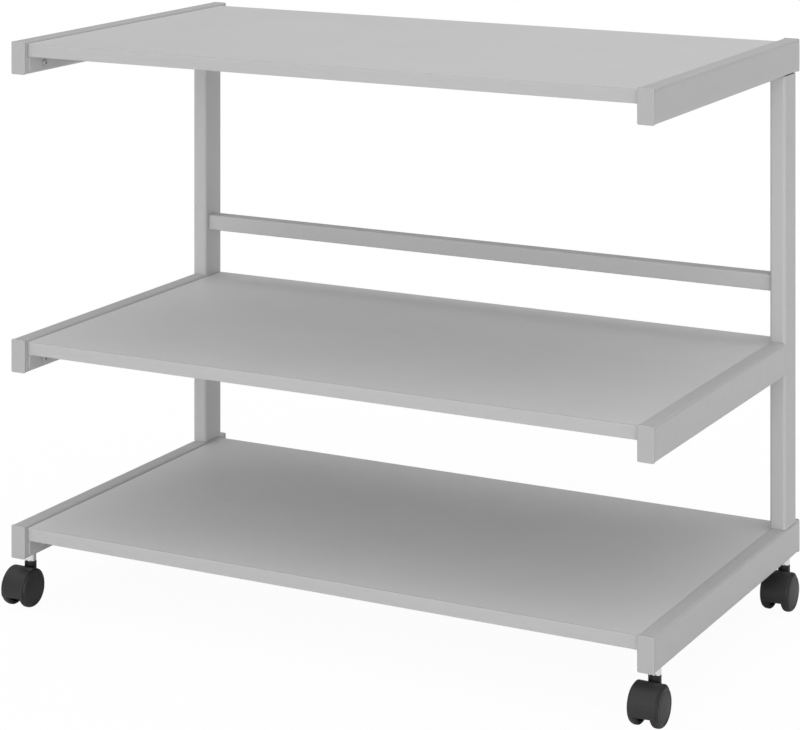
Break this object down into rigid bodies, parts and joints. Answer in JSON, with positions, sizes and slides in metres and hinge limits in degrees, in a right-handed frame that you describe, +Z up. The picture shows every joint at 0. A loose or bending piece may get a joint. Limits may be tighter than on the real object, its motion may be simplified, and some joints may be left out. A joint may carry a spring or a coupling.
{
  "type": "mobile printer stand",
  "caption": "Open mobile stand: laminated boards between cantilever steel side frames, with a rear brace, on swivel casters.",
  "frame": {"origin": "on the floor, under the middle of the stand's overall box", "axes": "+X to the right seen from the front, +Y towards the posts at the back, +Z up"},
  "size_m": [0.9194, 0.5155, 0.736],
  "materials": {
    "frame_paint": "satin powder coat, light grey",
    "cap_plastic": "satin light grey",
    "board_laminate": "fine-textured grey laminate over chipboard",
    "board_edging": "matt light grey edging strip",
    "caster_hood_plastic": "moulded black nylon, faintly grained",
    "caster_wheel_plastic": "moulded black nylon, smooth",
    "caster_chrome": "bright plated",
    "zinc_steel": "bright zinc plated"
  },
  "bodies": {
    "frame": {"left_post": "frame_paint", "right_post": "frame_paint", "left_top_arm": "frame_paint", "right_top_arm": "frame_paint", "left_middle_arm": "frame_paint", "right_middle_arm": "frame_paint", "left_bottom_arm": "frame_paint", "right_bottom_arm": "frame_paint", "left_top_front_cap": "cap_plastic", "right_top_front_cap": "cap_plastic", "left_middle_front_cap": "cap_plastic", "right_middle_front_cap": "cap_plastic", "left_bottom_front_cap": "cap_plastic", "right_bottom_front_cap": "cap_plastic", "left_top_rear_cap": "cap_plastic", "right_top_rear_cap": "cap_plastic", "left_bottom_rear_cap": "cap_plastic", "right_bottom_rear_cap": "cap_plastic", "rear_brace": "frame_paint", "top_board": "board_laminate", "middle_board": "board_laminate", "bottom_board": "board_laminate", "top_front_edging": "board_edging", "middle_front_edging": "board_edging", "bottom_front_edging": "board_edging", "top_rear_edging": "board_edging", "middle_rear_edging": "board_edging", "bottom_rear_edging": "board_edging", "top_brackets": "frame_paint", "middle_brackets": "frame_paint", "bottom_brackets": "frame_paint", "bracket_bolts": "zinc_steel", "bracket_nuts": "zinc_steel", "board_screws": "zinc_steel", "caster_sockets": "zinc_steel", "stem_rings": "zinc_steel", "front_left_stem": "caster_chrome", "front_right_stem": "caster_chrome", "rear_left_stem": "caster_chrome", "rear_right_stem": "caster_chrome"},
    "front_left_caster": {"front_left_hood": "caster_hood_plastic", "front_left_axle": "zinc_steel"},
    "front_left_outer_wheel": {"front_left_outer_wheel": "caster_wheel_plastic"},
    "front_left_inner_wheel": {"front_left_inner_wheel": "caster_wheel_plastic"},
    "front_right_caster": {"front_right_hood": "caster_hood_plastic", "front_right_axle": "zinc_steel"},
    "front_right_outer_wheel": {"front_right_outer_wheel": "caster_wheel_plastic"},
    "front_right_inner_wheel": {"front_right_inner_wheel": "caster_wheel_plastic"},
    "rear_left_caster": {"rear_left_hood": "caster_hood_plastic", "rear_left_axle": "zinc_steel"},
    "rear_left_outer_wheel": {"rear_left_outer_wheel": "caster_wheel_plastic"},
    "rear_left_inner_wheel": {"rear_left_inner_wheel": "caster_wheel_plastic"},
    "rear_right_caster": {"rear_right_hood": "caster_hood_plastic", "rear_right_axle": "zinc_steel"},
    "rear_right_outer_wheel": {"rear_right_outer_wheel": "caster_wheel_plastic"},
    "rear_right_inner_wheel": {"rear_right_inner_wheel": "caster_wheel_plastic"}
  },
  "joints": [
    {"name": "front_left_swivel", "type": "hinge", "parent": "frame", "child": "front_left_caster", "pos_m": [-0.43975, -0.21525, 0.03], "axis": [0, 0, 1], "continuous": true},
    {"name": "front_left_outer_wheel_spin", "type": "hinge", "parent": "front_left_caster", "child": "front_left_outer_wheel", "pos_m": [-0.43975, -0.23245, 0.024], "axis": [1, 0, 0], "continuous": true},
    {"name": "front_left_inner_wheel_spin", "type": "hinge", "parent": "front_left_caster", "child": "front_left_inner_wheel", "pos_m": [-0.43975, -0.23245, 0.024], "axis": [1, 0, 0], "continuous": true},
    {"name": "front_right_swivel", "type": "hinge", "parent": "frame", "child": "front_right_caster", "pos_m": [0.43975, -0.21525, 0.03], "axis": [0, 0, 1], "continuous": true},
    {"name": "front_right_outer_wheel_spin", "type": "hinge", "parent": "front_right_caster", "child": "front_right_outer_wheel", "pos_m": [0.43975, -0.23245, 0.024], "axis": [1, 0, 0], "continuous": true},
    {"name": "front_right_inner_wheel_spin", "type": "hinge", "parent": "front_right_caster", "child": "front_right_inner_wheel", "pos_m": [0.43975, -0.23245, 0.024], "axis": [1, 0, 0], "continuous": true},
    {"name": "rear_left_swivel", "type": "hinge", "parent": "frame", "child": "rear_left_caster", "pos_m": [-0.43975, 0.22775, 0.03], "axis": [0, 0, 1], "continuous": true},
    {"name": "rear_left_outer_wheel_spin", "type": "hinge", "parent": "rear_left_caster", "child": "rear_left_outer_wheel", "pos_m": [-0.43975, 0.21055, 0.024], "axis": [1, 0, 0], "continuous": true},
    {"name": "rear_left_inner_wheel_spin", "type": "hinge", "parent": "rear_left_caster", "child": "rear_left_inner_wheel", "pos_m": [-0.43975, 0.21055, 0.024], "axis": [1, 0, 0], "continuous": true},
    {"name": "rear_right_swivel", "type": "hinge", "parent": "frame", "child": "rear_right_caster", "pos_m": [0.43975, 0.22775, 0.03], "axis": [0, 0, 1], "continuous": true},
    {"name": "rear_right_outer_wheel_spin", "type": "hinge", "parent": "rear_right_caster", "child": "rear_right_outer_wheel", "pos_m": [0.43975, 0.21055, 0.024], "axis": [1, 0, 0], "continuous": true},
    {"name": "rear_right_inner_wheel_spin", "type": "hinge", "parent": "rear_right_caster", "child": "rear_right_inner_wheel", "pos_m": [0.43975, 0.21055, 0.024], "axis": [1, 0, 0], "continuous": true}
  ]
}
